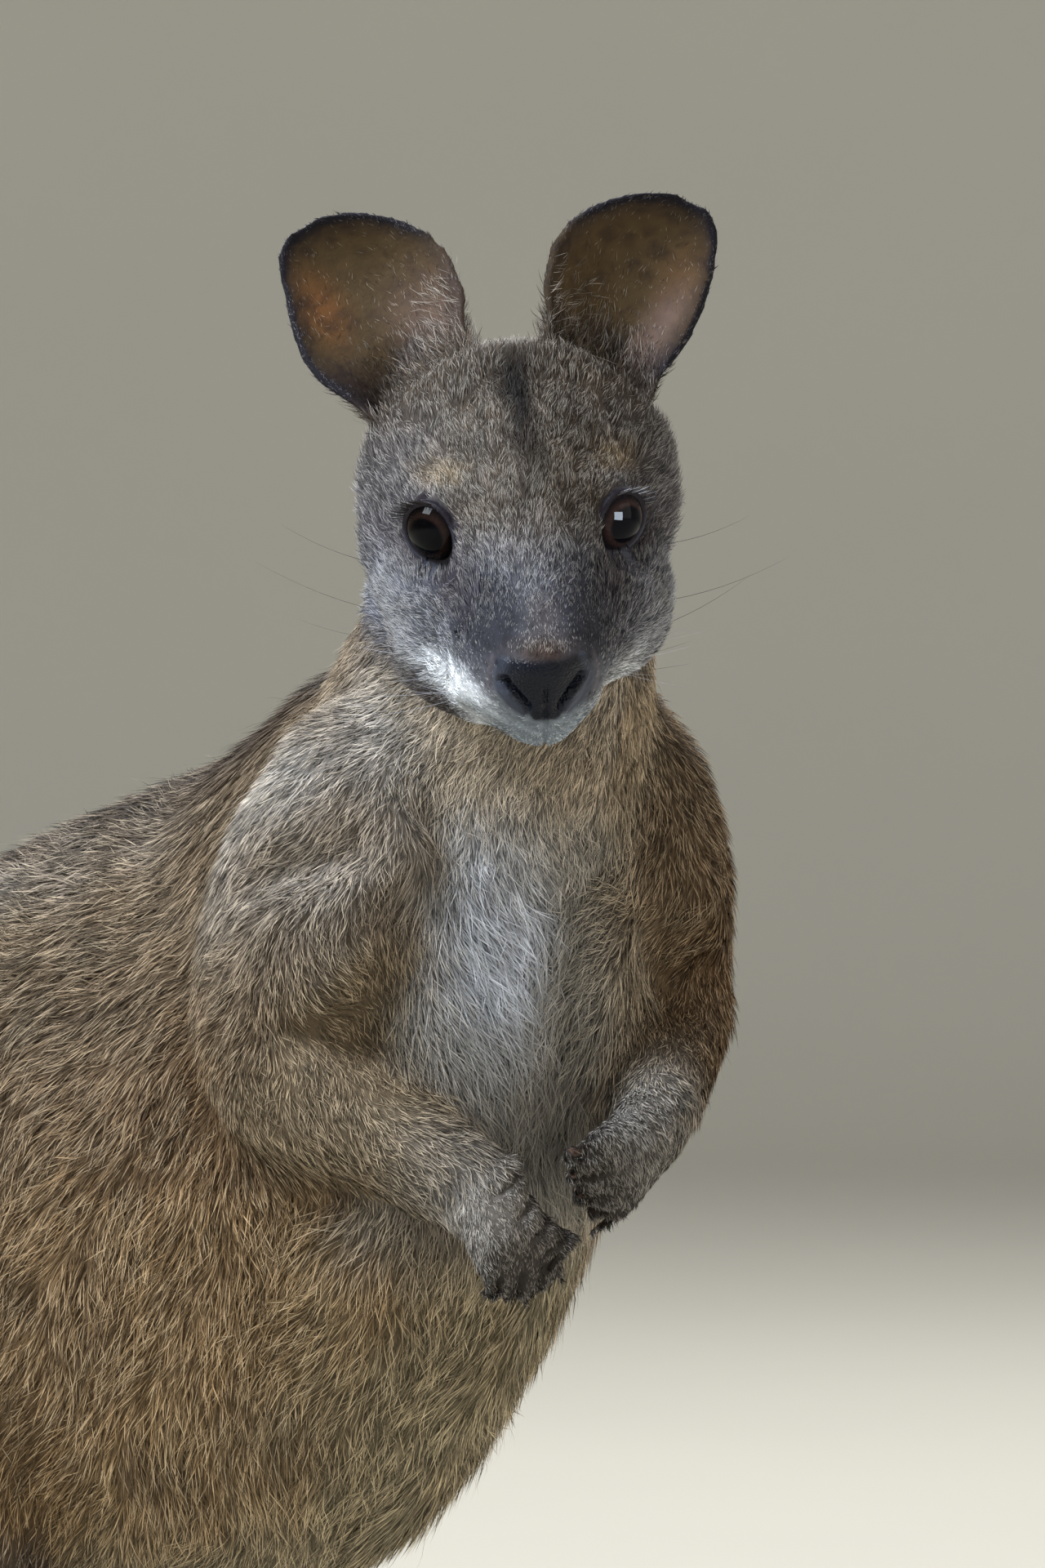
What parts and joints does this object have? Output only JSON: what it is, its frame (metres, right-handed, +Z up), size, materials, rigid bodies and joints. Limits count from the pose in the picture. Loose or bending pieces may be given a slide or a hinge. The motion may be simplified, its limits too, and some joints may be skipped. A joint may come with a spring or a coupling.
{
  "type": "wallaby",
  "caption": "Parma wallaby standing on its hind feet and tail, hands together before the belly, chest and head turned to its right; still life-size model.",
  "frame": {"origin": "on the floor, under the middle of the animal's bounding box", "axes": "+Z up, -Y the way the hips face (head end), +Y along the tail, -X the animal's right side"},
  "size_m": [0.16, 0.7946, 0.4381],
  "materials": {
    "coat": "rough",
    "coat_head": "rough",
    "coat_pale": "rough",
    "coat_dark": "rough",
    "ear_skin": "satin",
    "nose_skin": "satin",
    "eye": "gloss"
  },
  "bodies": {
    "root": {"belly_and_hips": "coat", "chest": "coat_pale", "neck": "coat_head", "head": "coat_head", "nose": "nose_skin", "ear_left": "ear_skin", "ear_right": "ear_skin", "eye_left": "eye", "eye_right": "eye", "upper_arm_left": "coat", "upper_arm_right": "coat", "forearm_left": "coat", "forearm_right": "coat", "hand_left": "coat_dark", "hand_right": "coat_dark", "thigh_left": "coat", "thigh_right": "coat", "shank_left": "coat", "shank_right": "coat", "foot_left": "coat_dark", "foot_right": "coat_dark", "tail_base": "coat", "tail_middle": "coat", "tail_tip": "coat_dark"}
  },
  "joints": []
}
